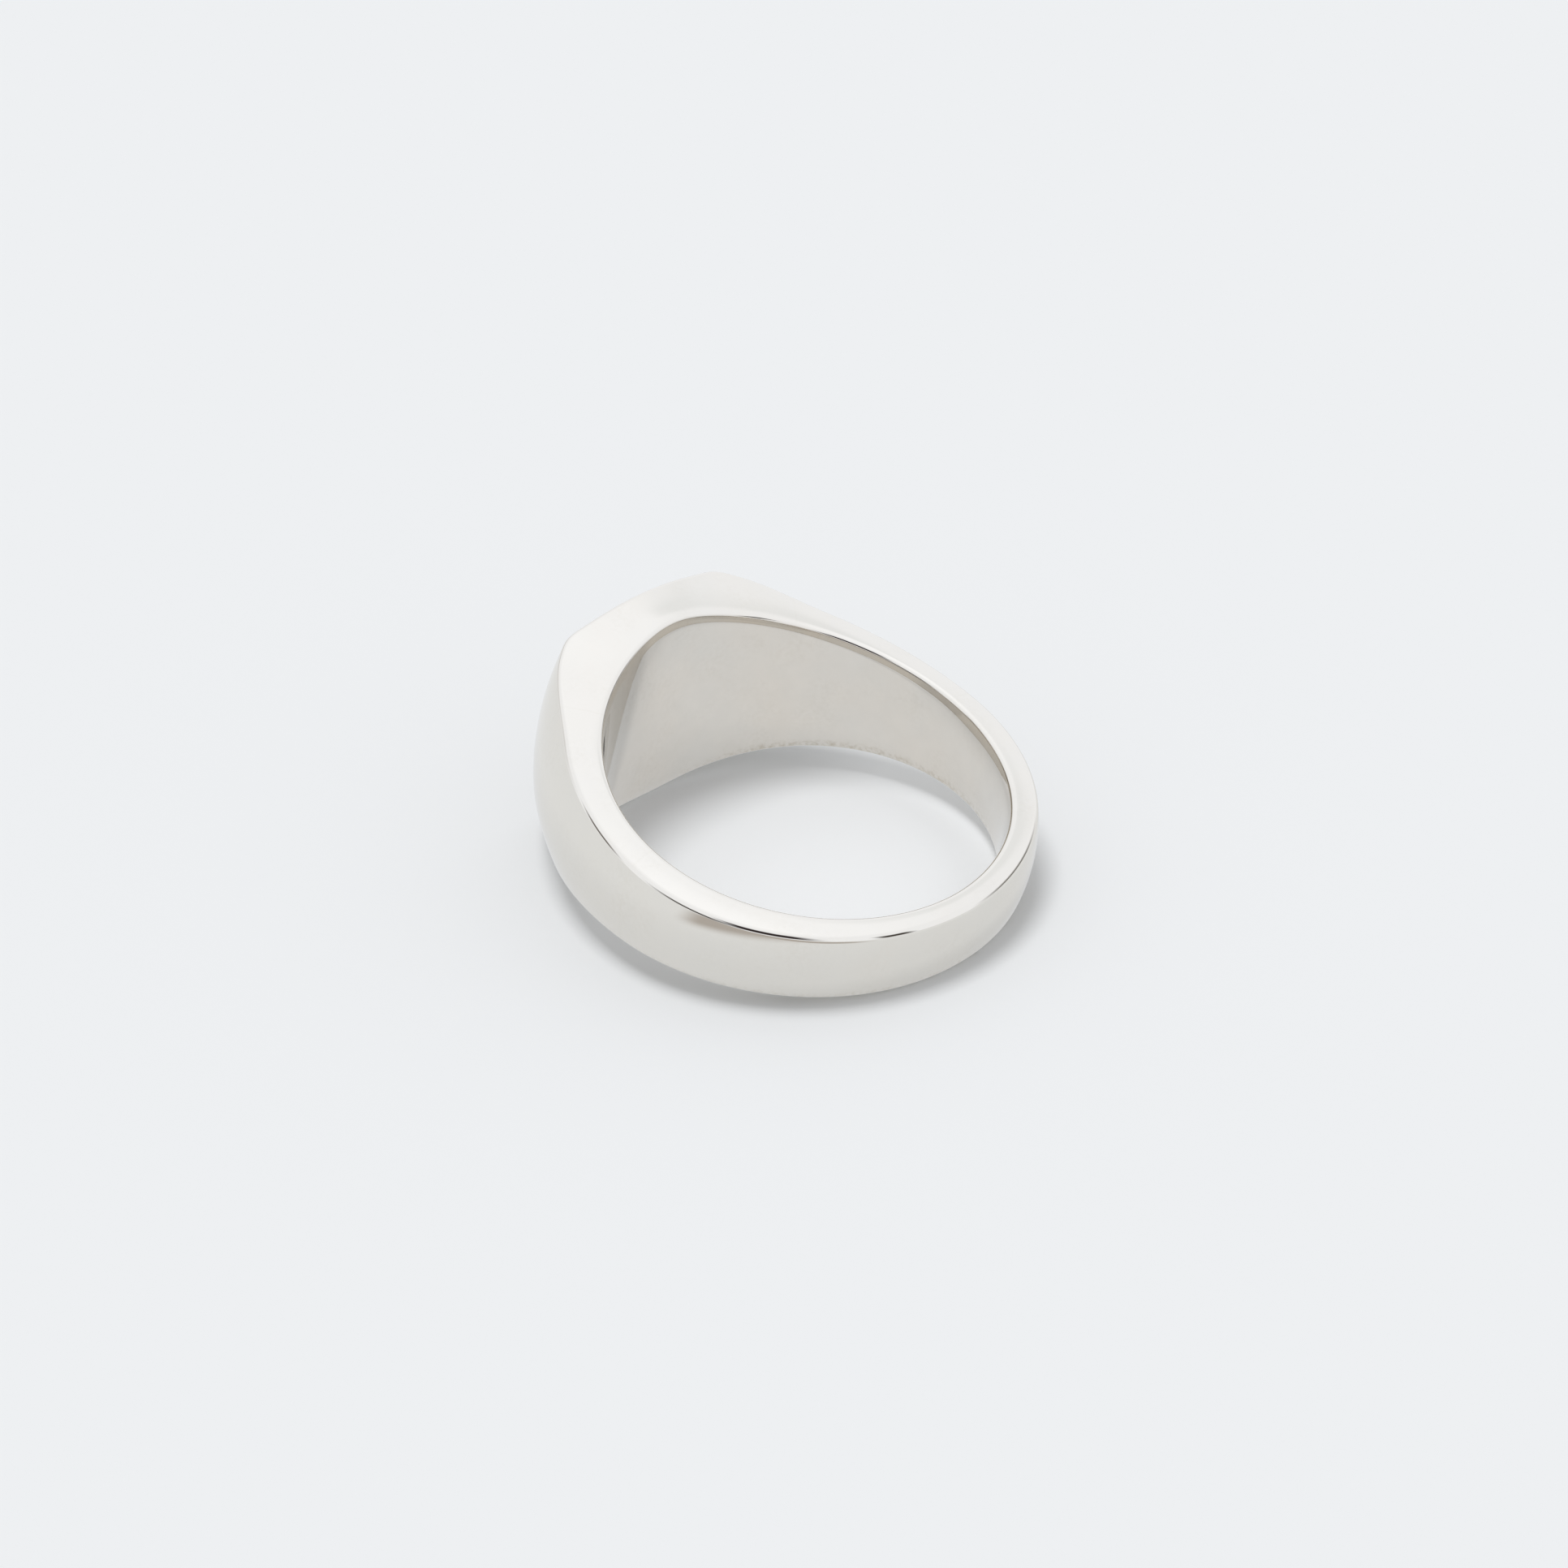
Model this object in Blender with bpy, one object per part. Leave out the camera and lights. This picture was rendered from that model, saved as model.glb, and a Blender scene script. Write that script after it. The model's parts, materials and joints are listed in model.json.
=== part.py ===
"""Signet ring with a plain cushion-shaped table, lying on its side.

It is made up as on a jeweller's bench: a head block with the flat table, two
shoulders that flare towards it, and a shank round the back of the finger, with
a film of solder in each of the four joints.

Units are metres. The ring is shaped in its own frame, with the finger hole
along Z and the head towards -Y. An empty then leans it over until it rests on
the lower edge of the table and the lower edge of the shank's back. Angles run
round the finger hole from the middle of the head.
"""

import math

import bmesh
import bpy
from mathutils import Matrix, Vector

# Finger hole
BORE_RADIUS = 0.00950  # 19.0 mm across
COMFORT_DROP = 0.00040  # how far the wall eases outwards at each rim
COMFORT_RADIUS = 0.00100  # radius of that ease

# Head
TABLE_HEIGHT = 0.01200  # from the axis of the hole to the table
TABLE_LENGTH = 0.01200  # round the finger
TABLE_WIDTH = 0.01140  # along the finger
TABLE_BOW_RADIUS = 0.01500  # bow of the table's two edges round the finger
HEAD_RIM_WIDTH = 0.01064  # between the rims of the hole, under the table
HEAD_CROWN_RADIUS = 0.01500  # crown of the outside, next to the table

# Shank
SIDE_THICKNESS = 0.00200
BACK_THICKNESS = 0.00150
SHANK_RIM_WIDTH = 0.00384  # between the rims of the hole, at the back
SHANK_CROWN_RADIUS = 0.00700
SHANK_LEAN = -0.25  # rise of the flank from the rim outwards, per unit of radius

# How the shank becomes the head
FLARE_SPREAD = math.radians(59.0)
FLARE_POWER = 1.31
FLARE_EASE = math.radians(4.0)  # rounds the top of the flare
CROWN_END = math.radians(50.0)  # where the crown has become the shank's
LEAN_END = math.radians(90.0)  # where the flank leans as the shank's does

# Polished edges round the outside
TABLE_EDGE_RADIUS = 0.00012
SHANK_EDGE_RADIUS = 0.00025
EDGE_END = math.radians(60.0)  # where the edge has the shank's radius

# Solder joints
HEAD_JOINT = math.radians(40.0)
SHANK_JOINT = math.radians(90.0)
SOLDER_FILM = 0.00010  # thickness at the wall of the hole

# Fineness of the mesh
TABLE_STEPS = 8
BAND_STEP = math.radians(3.0)
COMFORT_STEPS = 4
EDGE_STEPS = 3
CROWN_STEPS = 4

RIM_RADIUS = BORE_RADIUS + COMFORT_DROP
SIDE_RADIUS = BORE_RADIUS + SIDE_THICKNESS
BACK_RADIUS = BORE_RADIUS + BACK_THICKNESS
TABLE_END = math.atan2(TABLE_LENGTH / 2, TABLE_HEIGHT)
FILM_TURN = SOLDER_FILM / (2 * BORE_RADIUS)


def clear_scene():
    for obj in list(bpy.data.objects):
        bpy.data.objects.remove(obj, do_unlink=True)


def polished_metal(name, colour, roughness):
    material = bpy.data.materials.new(name)
    material.use_nodes = True
    shader = material.node_tree.nodes["Principled BSDF"]
    shader.inputs["Base Color"].default_value = (*colour, 1.0)
    shader.inputs["Metallic"].default_value = 1.0
    shader.inputs["Roughness"].default_value = roughness
    return material


def blend(first, last, share):
    """From first to last as share goes from 0 to 1, level at both ends."""
    share = min(max(share, 0.0), 1.0)
    return first + (last - first) * share * share * (3 - 2 * share)


def flare(angle):
    """Share of the head's extra width: 1 at the head and 0 at the back."""

    def falling(turn):
        turn = math.hypot(turn, FLARE_EASE) - FLARE_EASE
        return math.exp(-((turn / FLARE_SPREAD) ** FLARE_POWER))

    least = falling(math.pi)
    return (falling(angle) - least) / (1 - least)


def rim_height(angle):
    """Half the width between the rims of the hole."""
    extra = HEAD_RIM_WIDTH - SHANK_RIM_WIDTH
    return (SHANK_RIM_WIDTH + extra * flare(angle)) / 2


def crown(angle):
    """Curvature of the outside along the finger."""
    share = (angle - TABLE_END) / (CROWN_END - TABLE_END)
    return blend(1 / HEAD_CROWN_RADIUS, 1 / SHANK_CROWN_RADIUS, share)


def band_radius(angle, z):
    """Radius of the outside of the shoulders and the shank.

    The shoulder is one arc from the table's end to the side of the ring, and
    the shank thins from the side to the back.
    """
    if angle > math.pi / 2:
        middle = BACK_RADIUS + (SIDE_RADIUS - BACK_RADIUS) * math.sin(angle) ** 2
    else:
        inset = SIDE_RADIUS - TABLE_LENGTH / 2
        arc = (TABLE_HEIGHT**2 + inset**2) / (2 * inset)
        sink = arc - SIDE_RADIUS
        reach = math.sqrt(arc**2 - (sink * math.cos(angle)) ** 2)
        middle = reach - sink * math.sin(angle)
    return middle - crown(angle) * z * z / 2


def table_radius(angle):
    return TABLE_HEIGHT / math.cos(angle)


def table_end(z):
    """Angle at which the table meets the shoulder, at this height."""
    inside, outside = 0.0, math.radians(60.0)
    for _ in range(40):
        middle = (inside + outside) / 2
        if band_radius(middle, z) > table_radius(middle):
            inside = middle
        else:
            outside = middle
    return inside


def table_half_width(angle):
    along = TABLE_HEIGHT * math.tan(angle)
    return TABLE_WIDTH / 2 - along**2 / (2 * TABLE_BOW_RADIUS)


def settle(rule, value, rounds=8):
    """The value that the rule gives back unchanged."""
    for _ in range(rounds):
        value = rule(value)
    return value


TABLE_CORNER = settle(lambda angle: table_end(table_half_width(angle)), TABLE_END)
CORNER_LEAN = (table_half_width(TABLE_CORNER) - rim_height(TABLE_CORNER)) / (
    table_radius(TABLE_CORNER) - RIM_RADIUS
)


def outer_edge(angle):
    """(radius, height) where the flank meets the outside, before rounding."""
    if angle <= TABLE_CORNER:
        return Vector((table_radius(angle), table_half_width(angle)))
    share = (angle - TABLE_CORNER) / (LEAN_END - TABLE_CORNER)
    lean = blend(CORNER_LEAN, SHANK_LEAN, share)
    rim = rim_height(angle)
    height = settle(lambda z: rim + lean * (band_radius(angle, z) - RIM_RADIUS), rim)
    return Vector((band_radius(angle, height), height))


def outer_slope(angle, height):
    """Direction of the outside at its edge, towards the middle of the band."""
    if angle <= TABLE_CORNER:
        return Vector((0.0, -1.0))
    return Vector((crown(angle) * height, -1.0)).normalized()


def edge_rounding(angle):
    """(start, centre, end) of the rounding of the outer edge.

    It starts on the flank and ends on the outside, and takes at most half of
    the flank.
    """
    edge = outer_edge(angle)
    along_flank = Vector((RIM_RADIUS, rim_height(angle))) - edge
    inwards = along_flank.normalized()
    across = outer_slope(angle, edge.y)
    share = (angle - TABLE_CORNER) / (EDGE_END - TABLE_CORNER)
    radius = blend(TABLE_EDGE_RADIUS, SHANK_EDGE_RADIUS, share)
    half_corner = inwards.angle(across) / 2
    setback = min(radius / math.tan(half_corner), along_flank.length / 2)
    radius = setback * math.tan(half_corner)
    centre = edge + (inwards + across).normalized() * radius / math.sin(half_corner)
    return edge + inwards * setback, centre, edge + across * setback


def comfort_curve(angle):
    """(radius, height) of the eased rim, from the wall of the hole outwards."""
    sweep = math.acos(1 - COMFORT_DROP / COMFORT_RADIUS)
    base = rim_height(angle) - COMFORT_RADIUS * math.sin(sweep)
    for step in range(COMFORT_STEPS + 1):
        turn = sweep * step / COMFORT_STEPS
        rise = COMFORT_RADIUS * math.sin(turn)
        yield BORE_RADIUS + COMFORT_RADIUS * (1 - math.cos(turn)), base + rise


def place(angle, radius, z):
    return Vector((radius * math.sin(angle), -radius * math.cos(angle), z))


def outside_radius(angle, z):
    if angle < table_end(z):
        return table_radius(angle)
    return band_radius(angle, z)


def section(turn_at):
    """Closed loop of points round one section of the band.

    turn_at gives the angle of the section at each height. It is the same all
    the way up, apart from sections that follow the curved end of the table.
    """
    height = settle(lambda z: outer_edge(turn_at(z)).y, rim_height(turn_at(0.0)))
    angle = turn_at(height)
    upper = [place(angle, BORE_RADIUS, 0.0)]
    upper += [place(angle, *point) for point in comfort_curve(angle)]
    start, centre, end = edge_rounding(angle)
    first, last = (start - centre).normalized(), (end - centre).normalized()
    for step in range(EDGE_STEPS + 1):
        spoke = first.slerp(last, step / EDGE_STEPS) * (start - centre).length
        upper.append(place(angle, *(centre + spoke)))
    for step in range(1, CROWN_STEPS + 1):
        z = end.y * (1 - step / CROWN_STEPS)
        upper.append(place(turn_at(z), outside_radius(turn_at(z), z), z))
    lower = [Vector((point.x, point.y, -point.z)) for point in upper[-2:0:-1]]
    return upper + lower


def level(angle):
    """A section at one angle, up to half a turn either way from the head."""
    if angle <= math.pi:
        return section(lambda z: angle)
    return mirrored(section(lambda z: 2 * math.pi - angle))


def mirrored(loop):
    return [Vector((-point.x, point.y, point.z)) for point in loop]


def loft(name, loops, material, collection, parent):
    """A solid through the loops, with a flat face at each end."""
    shape = bmesh.new()
    rings = [[shape.verts.new(point) for point in loop] for loop in loops]
    for ring, following in zip(rings, rings[1:]):
        for near in range(len(ring)):
            far = (near + 1) % len(ring)
            shape.faces.new((ring[near], ring[far], following[far], following[near]))
    shape.faces.new(rings[0][::-1])
    shape.faces.new(rings[-1])
    if shape.calc_volume(signed=True) < 0:
        bmesh.ops.reverse_faces(shape, faces=shape.faces)
    mesh = bpy.data.meshes.new(name)
    shape.to_mesh(mesh)
    shape.free()
    mesh.shade_smooth()
    mesh.set_sharp_from_angle(angle=math.radians(25.0))
    mesh.materials.append(material)
    piece = bpy.data.objects.new(name, mesh)
    piece.parent = parent
    collection.objects.link(piece)
    return piece


def band(first, last):
    """Sections from one angle to another, a band step apart or less."""
    steps = max(1, math.ceil((last - first) / BAND_STEP))
    return [level(first + (last - first) * step / steps) for step in range(steps + 1)]


def head_sections():
    """Sections from one side of the head to the other.

    Over the table they keep to a share of its length at every height, and past
    it they spread evenly to the joint, so that one of them runs along the
    curved end of the table.
    """
    last = HEAD_JOINT - FILM_TURN

    def over_table(share):
        return lambda z: math.atan(share * math.tan(table_end(z)))

    def past_table(share):
        return lambda z: table_end(z) + share * (last - table_end(z))

    turns = [over_table(step / TABLE_STEPS) for step in range(TABLE_STEPS + 1)]
    steps = max(1, math.ceil((last - TABLE_END) / BAND_STEP))
    turns += [past_table(step / steps) for step in range(1, steps + 1)]
    half = [section(turn_at) for turn_at in turns]
    return [mirrored(loop) for loop in half[:0:-1]] + half


def lean():
    """Angle by which the head lifts when the ring lies on its side.

    The floor touches the rounding of the table's lower edge and that of the
    shank's back.
    """
    start, head, _ = edge_rounding(0.0)
    head_radius = (start - head).length
    start, back, _ = edge_rounding(math.pi)
    back_radius = (start - back).length
    run, drop = head.x + back.x, head.y - back.y
    spare = math.asin((head_radius - back_radius) / math.hypot(run, drop))
    return math.atan2(drop, run) + spare


def lay_down(frame, pieces):
    """Leans the ring, and puts the bottom centre of its box at the origin."""
    turned = Matrix.Rotation(-lean(), 4, "X")
    points = [turned @ vert.co for piece in pieces for vert in piece.data.vertices]
    low = Vector(min(point[axis] for point in points) for axis in range(3))
    high = Vector(max(point[axis] for point in points) for axis in range(3))
    middle = (low + high) / 2
    frame.matrix_world = Matrix.Translation((-middle.x, -middle.y, -low.z)) @ turned


def build():
    clear_scene()
    ring = bpy.data.collections.new("signet_ring")
    bpy.context.scene.collection.children.link(ring)
    frame = bpy.data.objects.new("ring_frame", None)
    ring.objects.link(frame)
    silver = polished_metal("polished_silver", (0.93, 0.92, 0.90), 0.08)
    solder = polished_metal("hard_solder", (0.90, 0.88, 0.84), 0.12)

    spans = {
        "signet_head": (head_sections(), silver),
        "shank": (
            band(SHANK_JOINT + FILM_TURN, 2 * math.pi - SHANK_JOINT - FILM_TURN),
            silver,
        ),
    }
    shoulder = band(HEAD_JOINT + FILM_TURN, SHANK_JOINT - FILM_TURN)
    head_film = band(HEAD_JOINT - FILM_TURN, HEAD_JOINT + FILM_TURN)
    shank_film = band(SHANK_JOINT - FILM_TURN, SHANK_JOINT + FILM_TURN)
    for name, loops, material in (
        ("shoulder", shoulder, silver),
        ("solder_head", head_film, solder),
        ("solder_shank", shank_film, solder),
    ):
        spans[f"{name}_right"] = (loops, material)
        spans[f"{name}_left"] = ([mirrored(loop) for loop in loops], material)

    pieces = [
        loft(name, loops, material, ring, frame)
        for name, (loops, material) in spans.items()
    ]
    lay_down(frame, pieces)


build()
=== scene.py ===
"""Looks of a plain polished signet ring that lies on its side on a pale table.

The ring is one band that widens into a flat-topped head, so one rule gives the
outline of its section at every turn round the finger. The pieces of the ring
(head, shoulders, shank and the solder in their joints) are stretches of that
band. Lengths are metres. The ring's own frame has the finger hole along Z and
the head towards -Y; the finished meshes are leaned over as the ring lies.
"""

import json
import logging
import math
from dataclasses import dataclass, field, fields, replace
from enum import Enum
from typing import Callable, Iterable, Union

import bpy
from mathutils import Matrix, Vector

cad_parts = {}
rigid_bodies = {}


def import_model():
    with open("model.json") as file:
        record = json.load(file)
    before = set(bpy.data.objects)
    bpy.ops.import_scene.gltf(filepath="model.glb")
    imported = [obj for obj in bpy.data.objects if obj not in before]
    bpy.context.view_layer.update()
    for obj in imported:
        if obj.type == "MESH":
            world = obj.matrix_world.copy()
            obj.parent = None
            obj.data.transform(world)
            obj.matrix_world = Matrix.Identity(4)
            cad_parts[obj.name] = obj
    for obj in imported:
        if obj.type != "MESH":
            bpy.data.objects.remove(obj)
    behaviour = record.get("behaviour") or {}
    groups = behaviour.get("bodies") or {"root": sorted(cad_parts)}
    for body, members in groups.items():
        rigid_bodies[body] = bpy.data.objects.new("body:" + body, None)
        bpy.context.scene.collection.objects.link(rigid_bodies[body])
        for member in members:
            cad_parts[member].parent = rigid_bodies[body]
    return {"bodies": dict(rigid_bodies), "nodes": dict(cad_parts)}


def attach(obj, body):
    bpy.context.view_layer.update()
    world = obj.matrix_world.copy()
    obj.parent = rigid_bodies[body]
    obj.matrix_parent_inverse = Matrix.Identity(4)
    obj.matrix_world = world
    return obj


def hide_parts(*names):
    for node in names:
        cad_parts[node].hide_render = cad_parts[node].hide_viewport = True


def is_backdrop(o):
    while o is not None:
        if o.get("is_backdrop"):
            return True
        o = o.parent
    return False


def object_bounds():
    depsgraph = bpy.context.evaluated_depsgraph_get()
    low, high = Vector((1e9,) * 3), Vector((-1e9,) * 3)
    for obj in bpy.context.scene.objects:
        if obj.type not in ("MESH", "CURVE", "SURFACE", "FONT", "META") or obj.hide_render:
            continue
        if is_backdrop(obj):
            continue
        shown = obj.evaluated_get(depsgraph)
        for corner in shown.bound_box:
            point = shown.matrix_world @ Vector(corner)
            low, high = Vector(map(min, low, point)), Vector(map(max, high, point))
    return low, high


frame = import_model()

# Limits that keep a formula away from where it has no value
LEAST = 0.001
MOST_ALIKE = 0.9999
LAST_TABLE_TURN = 1.0
LEAST_TABLE_COSINE = 0.1

# How finely the band is worked out and drawn
SLOPE_PROBE = 0.00001
HALVINGS = 40
WALL_STEPS = 18
RIM_STEPS = 14
FLANK_STEPS = 20
EDGE_STEPS = 10
OUTSIDE_STEPS = 40
OUTSIDE_CROWDING = 1.5
INSIDE_FADE_STEPS = 6.0
HALF_A_STEP = 0.5
LEAST_END_CORNERS = 5.0
LEAST_SECTIONS = 4

log = logging.getLogger("signet_ring")

Number = Union[float, "Term"]
Point = tuple[Number, Number]
Pair = tuple[float, float]
Triple = tuple[float, float, float]
Box = list[list[float]]
Socket = bpy.types.NodeSocket


class Workings:
    """The number nodes of one tree. A sum that comes up again uses the same node."""

    def __init__(self, tree: bpy.types.NodeTree) -> None:
        """Starts with no sums in the tree."""
        self.tree = tree
        self.made: dict[tuple, "Term"] = {}

    def math(self, operation: str, *values: Number) -> "Term":
        """Returns the result of a Math node, whose inputs are numbers and Terms."""
        return self.node("ShaderNodeMath", {"operation": operation}, *values)

    def node(self, kind: str, settings: dict[str, str], *values: Number) -> "Term":
        """Returns the first output of a node, which is added if it isn't there yet.

        Args:
            kind: Blender's name of the node.
            settings: Its options.
            values: Its inputs in order.
        """
        key = (kind, *settings.items(), *values)
        if key not in self.made:
            node = self.tree.nodes.new(kind)
            for name, setting in settings.items():
                setattr(node, name, setting)
            for socket, value in zip(node.inputs, values):
                plug(value, socket)
            self.made[key] = Term(self, node.outputs[0])
        return self.made[key]


def operator(operation: str, swapped: bool = False) -> Callable[["Term", Number], "Term"]:
    """Makes an operator between a Term, which is on the right if swapped, and a number."""

    def result(term: "Term", other: Number) -> "Term":
        return term.workings.math(operation, *((other, term) if swapped else (term, other)))

    return result


class Term:
    """A number that nodes work out for each point of a mesh."""

    __add__ = __radd__ = operator("ADD")
    __sub__, __rsub__ = operator("SUBTRACT"), operator("SUBTRACT", swapped=True)
    __mul__ = __rmul__ = operator("MULTIPLY")
    __truediv__, __rtruediv__ = operator("DIVIDE"), operator("DIVIDE", swapped=True)
    __pow__ = operator("POWER")

    def __init__(self, workings: Workings, socket: Socket) -> None:
        """Wraps an output socket of a tree."""
        self.workings = workings
        self.socket = socket

    def __neg__(self) -> "Term":
        """Returns the opposite number."""
        return self * -1.0


def plug(value: object, socket: Socket) -> None:
    """Links a Term or an output socket to an input, or sets a plain value on it."""
    if isinstance(value, Term):
        value = value.socket
    if isinstance(value, Socket):
        socket.id_data.links.new(value, socket)
    else:
        socket.default_value = value


def either(operation: str, plain: Callable[..., float]) -> Callable[..., Number]:
    """Makes a function of plain numbers and Terms from both its forms."""

    def function(*values: Number) -> Number:
        for value in values:
            if isinstance(value, Term):
                return value.workings.math(operation, *values)
        return plain(*values)

    return function


def soft_least(first: float, second: float, reach: float) -> float:
    """Returns the smaller number, rounded off where the two are within reach."""
    near = max(reach - abs(first - second), 0.0) / reach
    return min(first, second) - near**3 * reach / 6


def soft_most(first: float, second: float, reach: float) -> float:
    """Returns the larger number, rounded off where the two are within reach."""
    return -soft_least(-first, -second, reach)


sine = either("SINE", math.sin)
cosine = either("COSINE", math.cos)
tangent = either("TANGENT", math.tan)
arc_cosine = either("ARCCOSINE", math.acos)
arc_sine = either("ARCSINE", math.asin)
arc_tangent = either("ARCTAN2", math.atan2)
square_root = either("SQRT", math.sqrt)
exponential = either("EXPONENT", math.exp)
without_sign = either("ABSOLUTE", abs)
smaller = either("MINIMUM", min)
larger = either("MAXIMUM", max)
rounded_smaller = either("SMOOTH_MIN", soft_least)
rounded_larger = either("SMOOTH_MAX", soft_most)
above = either("GREATER_THAN", lambda value, limit: float(value > limit))


def choose(test: Number, yes: Number, no: Number) -> Number:
    """Returns yes where the test is 1, and no where it is 0."""
    if not isinstance(test, Term):
        return yes if test else no
    return test.workings.node("GeometryNodeSwitch", {"input_type": "FLOAT"}, test, no, yes)


def within(value: Number, low: Number, high: Number) -> Number:
    """Returns the value, held between two limits."""
    return smaller(larger(value, low), high)


def mix(first: Number, last: Number, share: Number) -> Number:
    """Returns the number that lies at a share of the way from first to last."""
    return first + (last - first) * share


def blend(first: Number, last: Number, share: Number) -> Number:
    """Returns a number from first to last that is level at both ends."""
    share = within(share, 0.0, 1.0)
    return mix(first, last, share * share * (3.0 - 2.0 * share))


def rise(value: Number, start: Number, reach: Number) -> Number:
    """Returns 0 up to the start, and 1 from a reach beyond it."""
    return blend(0.0, 1.0, (value - start) / reach)


def fall(value: Number, start: Number, reach: Number) -> Number:
    """Returns 1 up to the start, and 0 from a reach beyond it."""
    return blend(1.0, 0.0, (value - start) / reach)


def moved(point: Point, direction: Point, distance: Number) -> Point:
    """Returns the point, moved along a direction."""
    return point[0] + direction[0] * distance, point[1] + direction[1] * distance


def between(first: Point, last: Point) -> Point:
    """Returns the step from one point to another."""
    return last[0] - first[0], last[1] - first[1]


def length(step: Point) -> Number:
    """Returns the length of a step."""
    return square_root(step[0] * step[0] + step[1] * step[1])


def unit(step: Point) -> Point:
    """Returns a step's direction."""
    size = length(step)
    return step[0] / size, step[1] / size


def rounding(start: Point, heading: Point, end: Point, leaving: Point, share: Number) -> Point:
    """A rounded corner that leaves both its sides without a crease.

    Args:
        start: Where the corner begins.
        heading: Direction of the side that it leaves.
        end: Where the corner ends.
        leaving: Direction of the side that it joins.
        share: Place along the corner, from 0 to 1.

    Returns:
        The point at that place.
    """
    turn = arc_cosine(within(heading[0] * leaving[0] + heading[1] * leaving[1], -1.0, MOST_ALIKE))
    chord = length(between(start, end))
    pull = 4.0 * tangent(turn / 4.0) / (2.0 * sine(turn / 2.0)) * chord
    square, cube = share * share, share * share * share
    at_start, from_start = 2.0 * cube - 3.0 * square + 1.0, (cube - 2.0 * square + share) * pull
    at_end, into_end = 3.0 * square - 2.0 * cube, (cube - square) * pull
    return tuple(
        at_start * start[axis] + from_start * heading[axis] + at_end * end[axis] + into_end * leaving[axis]
        for axis in (0, 1)
    )


def placed(name: str, data: bpy.types.ID) -> bpy.types.Object:
    """Returns a new object of the scene that shows the data."""
    thing = bpy.data.objects.new(name, data)
    bpy.context.scene.collection.objects.link(thing)
    return thing


@dataclass(frozen=True)
class BandSizes:
    """Driving sizes of the band, in metres and radians.

    In a node tree each size is a named input, and these values are its defaults.
    """

    bore_radius: Number = 0.00950
    comfort_drop: Number = 0.00047
    wall_bulge: Number = 0.00016
    wall_ease_slope: Number = 0.17
    shank_ease_share: Number = 0.5
    wall_ease_length: Number = 0.00034
    wall_ease_blend: Number = 0.00003
    rim_drop: Number = 0.00020
    table_height: Number = 0.01200
    table_length: Number = 0.01200
    table_width: Number = 0.01140
    table_bow_radius: Number = 0.01500
    head_rim_width: Number = 0.01064
    head_crown_radius: Number = 0.01500
    side_thickness: Number = 0.00200
    back_thickness: Number = 0.00150
    shank_rim_width: Number = 0.00384
    shank_crown_radius: Number = 0.00700
    shank_lean: Number = -0.25
    flare_spread: Number = math.radians(59.0)
    flare_power: Number = 1.31
    flare_ease: Number = math.radians(4.0)
    crown_end: Number = math.radians(50.0)
    lean_end: Number = math.radians(90.0)
    table_edge_radius: Number = 0.00022
    shank_edge_radius: Number = 0.00042
    edge_end: Number = math.radians(60.0)
    crease_reach: Number = 0.00050
    polished_off: Number = 0.000005
    flank_roll: Number = 0.00010
    flank_roll_reach: Number = 0.00070
    corner_reach: Number = 0.00050
    corner_turn: Number = 0.0
    corner_lean: Number = 0.0


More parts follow.
